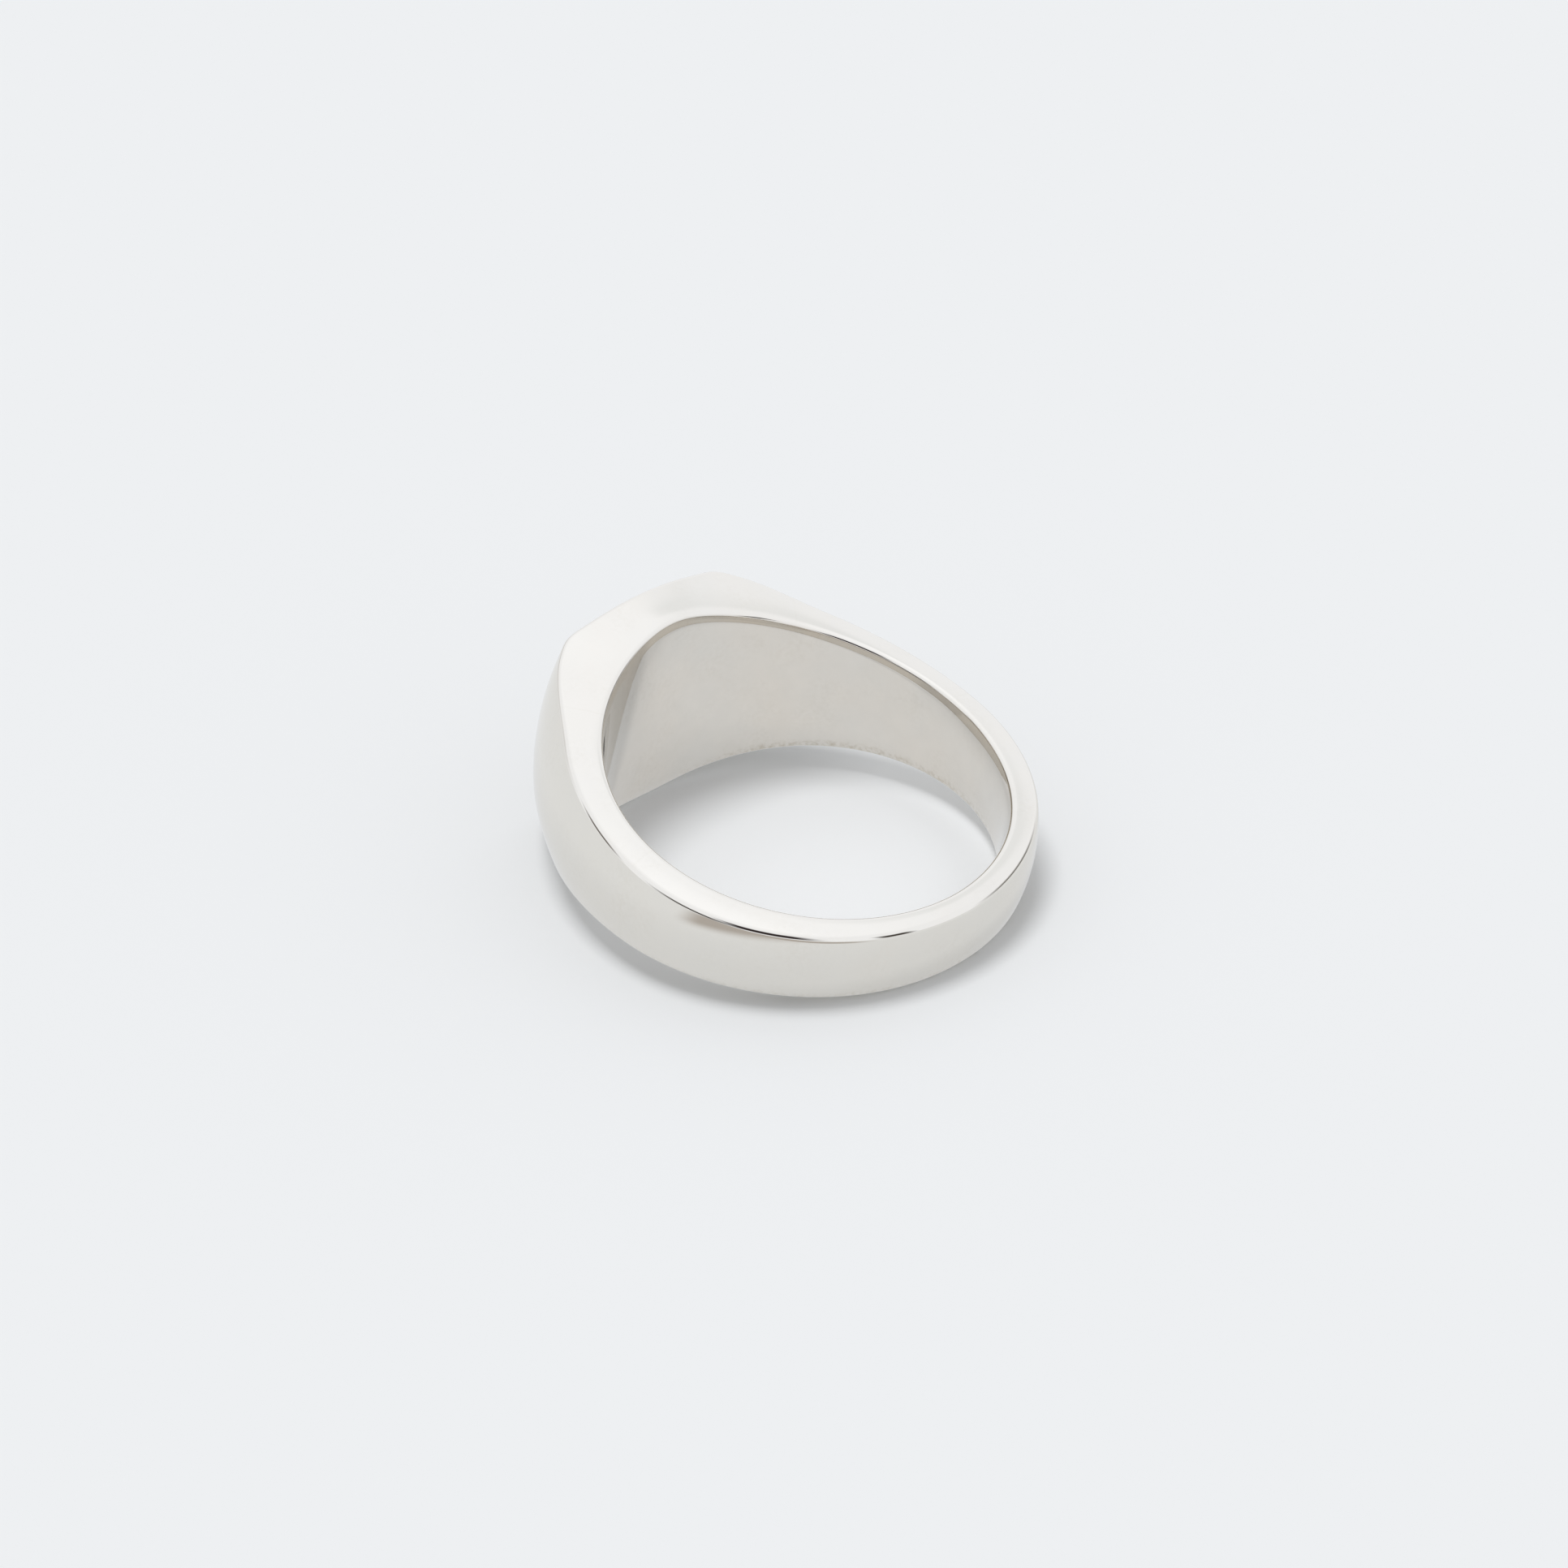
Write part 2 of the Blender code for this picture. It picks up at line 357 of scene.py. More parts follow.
class Band:
    """The rule of the band: its section at every turn from the middle of the head."""

    def __init__(self, sizes: BandSizes) -> None:
        """Keeps the sizes, which are plain numbers or Terms."""
        self.sizes = sizes
        self.rim_radius = sizes.bore_radius + sizes.comfort_drop
        self.side_radius = sizes.bore_radius + sizes.side_thickness
        self.back_radius = sizes.bore_radius + sizes.back_thickness

    def flare(self, turn: Number) -> Number:
        """Returns the share of the head's extra width: 1 at the head, 0 at the back."""
        sizes = self.sizes

        def falling(angle: Number) -> Number:
            eased = square_root(angle * angle + sizes.flare_ease * sizes.flare_ease)
            return exponential(-(((eased - sizes.flare_ease) / sizes.flare_spread) ** sizes.flare_power))

        least = falling(math.pi)
        return (falling(turn) - least) / (1.0 - least)

    def rim_height(self, turn: Number) -> Number:
        """Returns half the width between the rims of the hole."""
        sizes = self.sizes
        return mix(sizes.shank_rim_width, sizes.head_rim_width, self.flare(turn)) / 2.0

    def table_end(self) -> Number:
        """Returns the turn at which the middle of the table ends."""
        half = self.sizes.table_length / 2.0
        return arc_cosine(self.sizes.table_height / length((self.sizes.table_height, half)))

    def crown(self, turn: Number) -> Number:
        """Returns the curvature of the outside along the finger."""
        sizes = self.sizes
        share = (turn - self.table_end()) / (sizes.crown_end - self.table_end())
        return blend(1.0 / sizes.head_crown_radius, 1.0 / sizes.shank_crown_radius, share)

    def middle_radius(self, turn: Number) -> Number:
        """Returns the radius of the outside, half-way between its edges.

        The shoulder is one arc from the table's end to the side of the ring,
        and the shank thins from the side to the back.
        """
        inset = self.side_radius - self.sizes.table_length / 2.0
        arc = (self.sizes.table_height * self.sizes.table_height + inset * inset) / (2.0 * inset)
        sink = arc - self.side_radius
        across = sink * cosine(turn)
        shoulder = square_root(arc * arc - across * across) - sink * sine(turn)
        back_share = sine(turn) * sine(turn)
        shank = mix(self.back_radius, self.side_radius, back_share)
        return choose(above(turn, math.pi / 2), shank, shoulder)

    def outside_radius(self, turn: Number, z: Number) -> Number:
        """Returns the radius of the outside, which the flat table cuts off."""
        band = self.middle_radius(turn) - self.crown(turn) * z * z / 2.0
        table = self.sizes.table_height / larger(cosine(turn), LEAST_TABLE_COSINE)
        return rounded_smaller(band, table, self.sizes.crease_reach) - self.sizes.polished_off

    def table_half_width(self, turn: Number) -> Number:
        """Returns half the table's width at a turn."""
        along = self.sizes.table_height * tangent(smaller(turn, LAST_TABLE_TURN))
        return self.sizes.table_width / 2.0 - along * along / (2.0 * self.sizes.table_bow_radius)

    def outer_edge(self, turn: Number) -> Point:
        """Returns (radius, height) where the flank meets the outside."""
        sizes = self.sizes
        share = (turn - sizes.corner_turn) / (sizes.lean_end - sizes.corner_turn)
        lean = blend(sizes.corner_lean, sizes.shank_lean, share)
        level = self.rim_height(turn) + lean * (self.middle_radius(turn) - self.rim_radius)
        bend = 2.0 * lean * self.crown(turn)
        leaned = 2.0 * level / (1.0 + square_root(larger(1.0 + bend * level, 0.0)))
        table = self.table_half_width(turn)
        near_corner = 2.0 * turn / larger(sizes.corner_turn, LEAST) - 1.0
        reach = sizes.corner_reach * blend(LEAST, 1.0, near_corner)
        height = choose(above(near_corner, 0.0), rounded_larger(table, leaned, reach), table)
        return self.outside_radius(turn, height), height

    def wall(self, turn: Number, share: Number) -> tuple[Point, Point]:
        """Returns a point of the hole's wall, from its middle to its rim, and its direction.

        The wall widens a little towards the rim and eases outwards just below it, at the
        shank less than at the head.
        """
        sizes = self.sizes
        top = self.rim_height(turn) - sizes.rim_drop
        past = sizes.wall_ease_length - (1.0 - share) * top
        reach = length((past, sizes.wall_ease_blend))
        steepness = sizes.wall_ease_slope * mix(sizes.shank_ease_share, 1.0, self.flare(turn)) / 2.0
        eased = sizes.bore_radius + sizes.wall_bulge * share * share + steepness * (past + reach)
        slope = 2.0 * sizes.wall_bulge * share / top + steepness * (1.0 + past / reach)
        return (eased, top * share), unit((slope, 1.0))

    def flank(self, turn: Number, share: Number) -> tuple[Point, Point]:
        """Returns a point of the flank, from the rim to the edge, and its direction.

        The flank is nearly flat, but polishing has rolled it over next to the hole.
        """
        rim = self.rim_radius, self.rim_height(turn)
        chord = between(rim, self.outer_edge(turn))
        across = unit(chord)
        up = -across[1], across[0]
        roll, steepness = self.sizes.flank_roll, length(chord) / self.sizes.flank_roll_reach
        fade = exponential(-(share * steepness))
        swell = roll * (1.0 - share) * (1.0 - fade)
        slope = roll * ((1.0 - share) * fade * steepness - (1.0 - fade))
        return moved(moved(rim, chord, share), up, swell), unit(moved(chord, up, slope))

    def outside(self, turn: Number, share: Number) -> tuple[Point, Point]:
        """Returns a point of the outside, from its edge to its middle, and its direction."""
        height = self.outer_edge(turn)[1] * (1.0 - share)
        point = self.outside_radius(turn, height), height
        ahead = self.outside_radius(turn, height - SLOPE_PROBE), height - SLOPE_PROBE
        return point, unit(between(point, ahead))

    def rim_corner(self, turn: Number, share: Number) -> Point:
        """Returns a point of the rounding between the wall of the hole and the flank."""
        start, heading = self.wall(turn, 1.0)
        end, leaving = self.flank(turn, 0.0)
        return rounding(start, heading, end, leaving, share)

    def edge_corner(self, turn: Number, share: Number) -> Point:
        """Returns a point of the rounding between the flank and the outside."""
        setback = self.edge_setback(turn)
        start, heading = self.flank(turn, 1.0 - setback / self.flank_length(turn))
        end, leaving = self.outside(turn, setback / self.outer_edge(turn)[1])
        return rounding(start, heading, end, leaving, share)

    def flank_length(self, turn: Number) -> Number:
        """Returns the length of the flank before its corners are rounded."""
        return length(between((self.rim_radius, self.rim_height(turn)), self.outer_edge(turn)))

    def edge_setback(self, turn: Number) -> Number:
        """Returns how far the outer edge's rounding reaches from the sharp edge."""
        sizes = self.sizes
        share = (turn - sizes.corner_turn) / (sizes.edge_end - sizes.corner_turn)
        radius = blend(sizes.table_edge_radius, sizes.shank_edge_radius, share)
        heading, leaving = self.flank(turn, 1.0)[1], self.outside(turn, 0.0)[1]
        likeness = heading[0] * leaving[0] + heading[1] * leaving[1]
        return radius * square_root((1.0 - likeness) / (1.0 + likeness))

    def cornered(self) -> "Band":
        """Returns this band with the turn and the lean of the table's corner settled."""
        low, high = 0.0, self.table_end()
        for _ in range(HALVINGS):
            turn = (low + high) / 2
            height = self.table_half_width(turn)
            band = self.middle_radius(turn) - self.crown(turn) * height * height / 2
            low, high = (turn, high) if band > self.sizes.table_height / math.cos(turn) else (low, turn)
        radius = self.sizes.table_height / math.cos(low)
        lean = (self.table_half_width(low) - self.rim_height(low)) / (radius - self.rim_radius)
        return Band(replace(self.sizes, corner_turn=low, corner_lean=lean))


@dataclass(frozen=True)
class Stretch:
    """One run of the section's outline: how many steps it has, and where they lie."""

    steps: int
    point: Callable[[Number, Number], Point]
    spacing: Callable[[Number], Number]


def section_stretches(band: Band) -> list[Stretch]:
    """The upper half of the section's outline, from inside the hole to the outside.

    Args:
        band: The band's rule.

    Returns:
        The runs in order. Each spacing crowds the steps towards a rounding.
    """

    def evenly(share: Number) -> Number:
        return share

    def crowd_at_start(share: Number) -> Number:
        return share**OUTSIDE_CROWDING

    def crowd_at_end(share: Number) -> Number:
        return share * (2.0 - share)

    def crowd_at_both_ends(share: Number) -> Number:
        return (1.0 - cosine(share * math.pi)) / 2.0

    def wall(turn: Number, share: Number) -> Point:
        return band.wall(turn, share)[0]

    def flank(turn: Number, share: Number) -> Point:
        last = 1.0 - band.edge_setback(turn) / band.flank_length(turn)
        return band.flank(turn, share * last)[0]

    def outside(turn: Number, share: Number) -> Point:
        first = band.edge_setback(turn) / band.outer_edge(turn)[1]
        return band.outside(turn, mix(first, 1.0, share))[0]

    return [
        Stretch(WALL_STEPS, wall, crowd_at_end),
        Stretch(RIM_STEPS, band.rim_corner, evenly),
        Stretch(FLANK_STEPS, flank, crowd_at_both_ends),
        Stretch(EDGE_STEPS, band.edge_corner, evenly),
        Stretch(OUTSIDE_STEPS, outside, crowd_at_start),
    ]


class Slot(Enum):
    """Material slots of the ring's record."""

    SILVER = "polished_silver"
    SOLDER = "hard_solder"


@dataclass(frozen=True)
class Crowding:
    """How a piece's sections are shared out from its middle to its end.

    The way from each of the turns to the next gets an even run of sections. The head
    crowds them where its table meets the shoulders; the other pieces have them even.
    """

    turns: tuple[float, ...] = (0.0, 1.0)
    steps: tuple[float, ...] = (0.0, 1.0)

    def spread(self, run: Number) -> Number:
        """Returns the share of the turn that a share of the sections covers."""
        covered: Number = 0.0
        for low, high, start, end in zip(self.turns, self.turns[1:], self.steps, self.steps[1:]):
            covered = covered + (high - low) * within((run - start) / (end - start), 0.0, 1.0)
        return covered


@dataclass(frozen=True)
class DarkReflectionSpot:
    """A stretch of the hole's wall that is painted darker: a painted reflection of the shaded table under
    the head.

    It runs round the finger from start to end, in radians, with soft ends. Its start slants,
    so that it begins earlier at the upper rim than at the lower one.
    """

    start: float = 0.35
    slant: float = 0.225
    start_fade: float = 0.12
    end: float = 0.90
    end_fade: float = 0.40

    def cover(self, turn: Number, climb: Number) -> Number:
        """Returns how much painted dark reflection the wall has at a turn and a share of its height, from
        0 to 1.
        """
        first = rise(turn, self.start - self.slant * climb, self.start_fade)
        return first * fall(turn, self.end, self.end_fade)


class BandTree:
    """The node tree that makes a piece of the ring.

    A loop is swept along a line into a tube with closed ends, and each point of the
    tube is then moved to its place in the band.
    """

    def __init__(self, name: str, sizes: BandSizes, crowding: Crowding) -> None:
        """Builds the tree.

        Args:
            name: The tree's name.
            sizes: The values that its inputs start with.
            crowding: How the sections are shared out.
        """
        self.tree = bpy.data.node_groups.new(name, "GeometryNodeTree")
        self.workings = Workings(self.tree)
        self.sockets: dict[str, str] = {}
        given = self.inputs(sizes)
        band = Band(BandSizes(**{size.name: given[size.name] for size in fields(BandSizes)}))

        stretches = section_stretches(band)
        half = sum(stretch.steps for stretch in stretches)
        share, section, tube = self.sweep(given["sections"], half)
        way = 2.0 * share - 1.0
        run = crowding.spread(without_sign(way))
        reach = (given["end"] - given["start"]) / 2.0
        middle = (given["end"] + given["start"]) / 2.0
        turn = middle + reach * choose(above(way, 0.0), run, -run)
        folded = math.pi - without_sign(math.pi - without_sign(turn))
        place = half - without_sign(section - half)
        radius, height = self.outline(stretches, folded, place)
        side = choose(above(section, float(half)), -1.0, 1.0)
        along = height * side
        point = radius * sine(turn), -(radius * cosine(turn)), along
        position = self.workings.node("ShaderNodeCombineXYZ", {}, *point)
        inside = 1.0 - within((place - float(WALL_STEPS)) / INSIDE_FADE_STEPS, 0.0, 1.0)
        rim_height = band.rim_height(folded)
        lift = along + rim_height
        marks = {
            "around": turn,
            "across": radius,
            "along": along,
            "lift": lift,
            "inside": inside,
            # Painted dark reflection on a stretch of the hole's wall
            "unbuffed": inside * DarkReflectionSpot().cover(turn, lift / (2.0 * rim_height)),
            "behind": folded,
        }
        shape = self.chain(
            tube,
            ("GeometryNodeSetPosition", {"Position": position}),
            ("GeometryNodeSetShadeSmooth", {"Selection": self.side_faces()}),
            *(("GeometryNodeStoreNamedAttribute", {"Name": name, "Value": marks[name]}) for name in marks),
            ("GeometryNodeRealizeInstances", {}),
            ("GeometryNodeSetMaterial", {"Material": given["material"]}),
        )
        self.tree.interface.new_socket("Geometry", in_out="OUTPUT", socket_type="NodeSocketGeometry")
        self.tree.links.new(shape, self.tree.nodes.new("NodeGroupOutput").inputs["Geometry"])

    def inputs(self, sizes: BandSizes) -> dict[str, object]:
        """Makes the tree's named inputs.

        Args:
            sizes: The values of the band's sizes.

        Returns:
            Each input as a Term under its name. The count and the material are sockets.
        """
        numbers = {size.name: getattr(sizes, size.name) for size in fields(BandSizes)}
        numbers |= {"start": 0.0, "end": 1.0}
        kinds = {name: "NodeSocketFloat" for name in numbers}
        kinds |= {"sections": "NodeSocketInt", "material": "NodeSocketMaterial"}
        for name, kind in kinds.items():
            label = name.replace("_", " ").capitalize()
            socket = self.tree.interface.new_socket(label, in_out="INPUT", socket_type=kind)
            self.sockets[name] = socket.identifier
            if name in numbers:
                socket.default_value = numbers[name]
        outputs = self.tree.nodes.new("NodeGroupInput").outputs
        given = dict(zip(kinds, outputs))
        return {name: self.term(given[name]) if name in numbers else given[name] for name in kinds}

    def term(self, socket: Socket) -> Term:
        """Returns an output socket as a Term."""
        return Term(self.workings, socket)

    def sweep(self, sections: Socket, half: int) -> tuple[Term, Term, Socket]:
        """Sweeps a closed loop along a line, as a tube with closed ends.

        Args:
            sections: How many points the line has.
            half: How many steps half the loop has.

        Returns:
            The share along the line, the step round the loop, and the tube.
        """
        line = self.tree.nodes.new("GeometryNodeCurvePrimitiveLine")
        dense = self.chain(line.outputs["Curve"], ("GeometryNodeResampleCurve", {"Count": sections}))
        loop = self.tree.nodes.new("GeometryNodeCurvePrimitiveCircle")
        plug(2 * half, loop.inputs["Resolution"])
        share, dense_line = self.captured(dense, "Factor")
        step, counted_loop = self.captured(loop.outputs["Curve"], "Index")
        swept = {"Profile Curve": counted_loop, "Fill Caps": True}
        return share, step, self.chain(dense_line, ("GeometryNodeCurveToMesh", swept))

    def captured(self, curve: Socket, what: str) -> tuple[Term, Socket]:
        """Returns each point's place on its curve, kept for the tube, and the curve with it."""
        parameter = self.tree.nodes.new("GeometryNodeSplineParameter")
        keep = self.tree.nodes.new("GeometryNodeCaptureAttribute")
        keep.capture_items.new("FLOAT", what)
        plug(curve, keep.inputs["Geometry"])
        plug(parameter.outputs[what], keep.inputs[what])
        return self.term(keep.outputs[what]), keep.outputs["Geometry"]

    @staticmethod
    def outline(stretches: Iterable[Stretch], turn: Term, place: Term) -> Point:
        """Follows the section's outline.

        Args:
            stretches: The runs of the outline.
            turn: Turn from the middle of the head, without a sign.
            place: Step along the outline, from inside the hole to the outside.

        Returns:
            The radius and the height of the point at that step.
        """
        first = 0
        radius = height = 0.0
        for stretch in stretches:
            share = within((place - float(first)) / float(stretch.steps), 0.0, 1.0)
            point = stretch.point(turn, stretch.spacing(share))
            here = above(place, first - HALF_A_STEP)
            radius, height = choose(here, point[0], radius), choose(here, point[1], height)
            first += stretch.steps
        return radius, height

    def side_faces(self) -> Term:
        """Returns the test that tells the tube's four-sided faces from its ends."""
        count = self.tree.nodes.new("GeometryNodeInputMeshFaceNeighbors")
        return above(LEAST_END_CORNERS, self.term(count.outputs["Vertex Count"]))

    def chain(self, shape: Socket, *steps: tuple[str, dict[str, object]]) -> Socket:
        """Passes a shape through nodes, each given by its type and its named inputs."""
        for kind, inputs in steps:
            node = self.tree.nodes.new(kind)
            plug(shape, node.inputs[0])
            for name, value in inputs.items():
                plug(value, node.inputs[name])
            shape = node.outputs[0]
        return shape


@dataclass(frozen=True)
class BandPiece:
    """A piece of the ring: the stretch of the band between two turns."""

    name: str
    slot: Slot
    start: float
    end: float
    sections: int
    tree: BandTree = field(repr=False)

    def build(self, material: bpy.types.Material) -> bpy.types.Object:
        """Makes the piece as a plain mesh in the ring's own frame.

        Args:
            material: The finish of the piece.

        Returns:
            The new object, which is at the origin.
        """
        carrier = placed(f"{self.name}_carrier", bpy.data.meshes.new("empty"))
        modifier = carrier.modifiers.new("Band", "NODES")
        modifier.node_group = self.tree.tree
        given = {"start": self.start, "end": self.end, "sections": self.sections, "material": material}
        for name, value in given.items():
            modifier[self.tree.sockets[name]] = value
        graph = bpy.context.evaluated_depsgraph_get()
        mesh = bpy.data.meshes.new_from_object(carrier.evaluated_get(graph))
        carrier.modifiers.remove(modifier)
        bpy.data.objects.remove(carrier)
        mesh.name = self.name
        return placed(f"{self.name}_polished", mesh)


@dataclass(frozen=True)
class Grain:
    """How fine a Noise texture is, per metre, and how many finer layers it has."""

    scale: float
    detail: float


@dataclass(frozen=True)
class Finish:
    """A polished metal surface, with the marks that the buffing wheel and wear leave.

    The hole's wall has a colour of its own and is a little blotchier than the outside. The
    colour carries painted shade next to the side that lies on the table, and a painted dark
    reflection on a stretch of the hole's wall. Where a value is a pair, the first number is
    for the outside and the second for that wall.
    """

    colour: Triple = (0.840, 0.813, 0.760)
    bore_colour: Triple = (0.742, 0.706, 0.652)
    tarnish: Triple = (0.925, 0.913, 0.89)
    roughness: float = 0.035
    haze: float = 0.10

    smudges: Grain = Grain(420.0, 5.0)
    smudge_level: float = 0.42
    smudge_gain: Pair = (1.3, 2.0)
    specks: Grain = Grain(4200.0, 5.0)
    speck_level: float = 0.40
    speck_gain: float = 3.0
    clouds: Grain = Grain(1100.0, 3.0)
    cloud_depth: Pair = (0.02, 0.06)
    blushes: Grain = Grain(260.0, 2.0)
    blush_depth: Pair = (0.02, 0.05)

    # Painted shade next to the side that lies on the table, made ragged by the specks
    grime_height: float = 0.00018
    grime_fade: float = 0.00055
    grime_gain: float = 2.6
    grime_start: Pair = (1.1, 0.0)
    grime_start_fade: float = 0.6
    # A painted dark reflection on a stretch of the hole's wall
    unbuffed_left: float = 0.82
    unbuffed_smudges: float = 0.3
    unbuffed_least: float = 0.7
    unbuffed_most: float = 1.3

    waves: Grain = Grain(380.0, 1.0)
    wave_height: float = 0.0000012
    lines: Grain = Grain(1.0, 2.0)
    line_height: float = 0.00000012
    line_run: float = 9.0
    line_spacing: float = 26000.0

    def material(self, name: str) -> bpy.types.Material:
        """Builds the finish as a material with this name."""
        material = bpy.data.materials.new(name)
        material.use_nodes = True
        tree = material.node_tree
        workings = Workings(tree)
        shader = tree.nodes["Principled BSDF"]
        shader.inputs["Metallic"].default_value = 1.0
        place = tree.nodes.new("ShaderNodeTexCoord").outputs["Object"]
        waves = self.noise(workings, place, self.waves)
        lines = self.noise(workings, self.buffed(workings), self.lines)
        dull_and_low_shade, channels = self.tones(workings, place)
        plug(workings.node("ShaderNodeCombineColor", {}, *channels), shader.inputs["Base Color"])
        roughness = self.roughness + self.haze * within(dull_and_low_shade, 0.0, 1.0) * lines
        plug(roughness, shader.inputs["Roughness"])
        fine = self.bump(tree, lines, self.line_height)
        coarse = self.bump(tree, waves, self.wave_height)
        plug(fine.outputs["Normal"], coarse.inputs["Normal"])
        plug(coarse.outputs["Normal"], shader.inputs["Normal"])
        return material

    def tones(self, workings: Workings, place: object) -> tuple[Term, list[Term]]:
        """Works out where the metal is dull or painted darker, and its colour.

        Args:
            workings: The material's nodes.
            place: The point in the object's own coordinates.

        Returns:
            The dullness, and the red, green and blue of the metal.
        """
        inside, unbuffed = self.attribute(workings, "inside"), self.attribute(workings, "unbuffed")
        smudges = self.noise(workings, place, self.smudges)
        specks = self.noise(workings, place, self.specks)
        # Painted shade: darker next to the side that lies on the table
        low = fall(self.attribute(workings, "lift"), self.grime_height, self.grime_fade)
        behind = self.attribute(workings, "behind")
        low = low * rise(behind, mix(*self.grime_start, inside), self.grime_start_fade)
        blotch = (smudges - self.smudge_level) * mix(*self.smudge_gain, inside)
        blotch = within(blotch + unbuffed * self.unbuffed_smudges, 0.0, 1.0)
        grain = within((specks - self.speck_level) * self.speck_gain, 0.0, 1.0)
        dull_and_low_shade = within(blotch * grain + low * grain * self.grime_gain, 0.0, self.grime_gain)
        blush = self.uneven(workings, place, self.blushes) * mix(*self.blush_depth, inside)
        cloud = self.uneven(workings, place, self.clouds) * mix(*self.cloud_depth, inside)
        shifts = (1.0 + cloud + blush, 1.0 + cloud, 1.0 + cloud - blush)
        # Painted dark reflection on a stretch of the hole's wall
        dark_reflection_share = unbuffed * mix(self.unbuffed_least, self.unbuffed_most, smudges)
        tints = zip(self.colour, self.bore_colour, self.tarnish)
        channels = [
            mix(outer, inner, inside) * mix(1.0, dark, dull_and_low_shade) * mix(1.0, self.unbuffed_left, dark_reflection_share) * shift
            for (outer, inner, dark), shift in zip(tints, shifts)
        ]
        return dull_and_low_shade, channels

    def buffed(self, workings: Workings) -> Term:
        """Returns a place that runs slowly round the finger and fast across it."""
        rates = {"around": self.line_run, "across": self.line_spacing, "along": self.line_spacing}
        way = (self.attribute(workings, name) * rate for name, rate in rates.items())
        return workings.node("ShaderNodeCombineXYZ", {}, *way)

    @staticmethod
    def noise(workings: Workings, place: object, grain: Grain) -> Term:
        """Returns a Noise texture from 0 to 1, as a number at a place."""
        node = workings.tree.nodes.new("ShaderNodeTexNoise")
        for name, value in {"Vector": place, "Scale": grain.scale, "Detail": grain.detail}.items():
            plug(value, node.inputs[name])
        return Term(workings, node.outputs[0])

    def uneven(self, workings: Workings, place: object, grain: Grain) -> Term:
        """Returns a Noise texture that swings about 0."""
        return self.noise(workings, place, grain) - 0.5

    @staticmethod
    def bump(tree: bpy.types.NodeTree, height: Term, distance: float) -> bpy.types.Node:
        """Returns a Bump node that reads a height and scales it to metres."""
        node = tree.nodes.new("ShaderNodeBump")
        plug(height, node.inputs["Height"])
        plug(distance, node.inputs["Distance"])
        return node

    @staticmethod
    def attribute(workings: Workings, name: str) -> Term:
        """Returns the number that the mesh carries under a name."""
        node = workings.tree.nodes.new("ShaderNodeAttribute")
        node.attribute_name = name
        return Term(workings, node.outputs["Fac"])


class Ring:
    """The whole ring: its pieces, and how it lies."""

    head_joint = math.radians(40.0)
    shank_joint = math.radians(90.0)
    solder_film = 0.00010
    solder_colour = (0.833, 0.806, 0.750)
    sections_per_radian = 110.0
    head_sections = 301
    head_crowding = Crowding(turns=(0.0, 0.45, 0.69, 1.0), steps=(0.0, 0.16, 0.84, 1.0))

    def __init__(self) -> None:
        """Settles the band's corner and the turns between the pieces."""
        self.band = Band(BandSizes()).cornered()
        self.film_turn = self.solder_film / (2 * self.band.sizes.bore_radius)

    def pieces(self) -> list[BandPiece]:
        """Returns the eight pieces, in order round the finger."""
        head, shank, film = self.head_joint, self.shank_joint, self.film_turn
        around = 2 * math.pi
        runs = (
            ("shoulder_right", Slot.SILVER, head + film, shank - film),
            ("shank", Slot.SILVER, shank + film, around - shank - film),
            ("shoulder_left", Slot.SILVER, around - shank + film, around - head - film),
            ("solder_head_right", Slot.SOLDER, head - film, head + film),
            ("solder_shank_right", Slot.SOLDER, shank - film, shank + film),
            ("solder_shank_left", Slot.SOLDER, around - shank - film, around - shank + film),
            ("solder_head_left", Slot.SOLDER, around - head - film, around - head + film),
        )
        block = BandTree("signet_head_band", self.band.sizes, self.head_crowding)
        stretch = BandTree("band", self.band.sizes, Crowding())
        made = [BandPiece("signet_head", Slot.SILVER, film - head, head - film, self.head_sections, block)]
        for name, slot, start, end in runs:
            sections = max(LEAST_SECTIONS, math.ceil((end - start) * self.sections_per_radian))
            made.append(BandPiece(name, slot, start, end, sections, stretch))
        return made

    def lean(self) -> float:
        """Returns the angle by which the head lifts when the ring lies on its side."""
        head, back = self.band.outer_edge(0.0), self.band.outer_edge(math.pi)
        return math.atan2(head[1] - back[1], head[0] + back[0])

    def lay_down(self, pieces: list[bpy.types.Object], box: Box) -> None:
        """Leans the meshes, and stands them where the solids are.

        Args:
            pieces: The ring's pieces, in the ring's own frame.
            box: The box of the solids.
        """
        leaned = Matrix.Rotation(-self.lean(), 4, "X")
        for piece in pieces:
            piece.data.transform(leaned)
        points = [vertex.co for piece in pieces for vertex in piece.data.vertices]
        low = Vector(min(point[axis] for point in points) for axis in range(3))
        high = Vector(max(point[axis] for point in points) for axis in range(3))
        wanted_low, wanted_high = (Vector(corner) for corner in box)
        shift = (wanted_low + wanted_high - low - high) / 2
        shift.z = wanted_low.z - low.z
        for piece in pieces:
            piece.data.transform(Matrix.Translation(shift))

    def build(self, box: Box) -> None:
        """Makes the pieces in the box of the solids, dresses them and puts them on their body."""
        finishes = {
            Slot.SILVER: Finish().material("polished_silver"),
            Slot.SOLDER: Finish(colour=self.solder_colour).material("polished_solder"),
        }
        pieces = self.pieces()
        made = {piece.name: piece.build(finishes[piece.slot]) for piece in pieces}
        self.lay_down(list(made.values()), box)
        for piece in pieces:
            dressed = made[piece.name]
            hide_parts(piece.name)
            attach(dressed, "root")
            log.info("%s: %d faces", dressed.name, len(dressed.data.polygons))


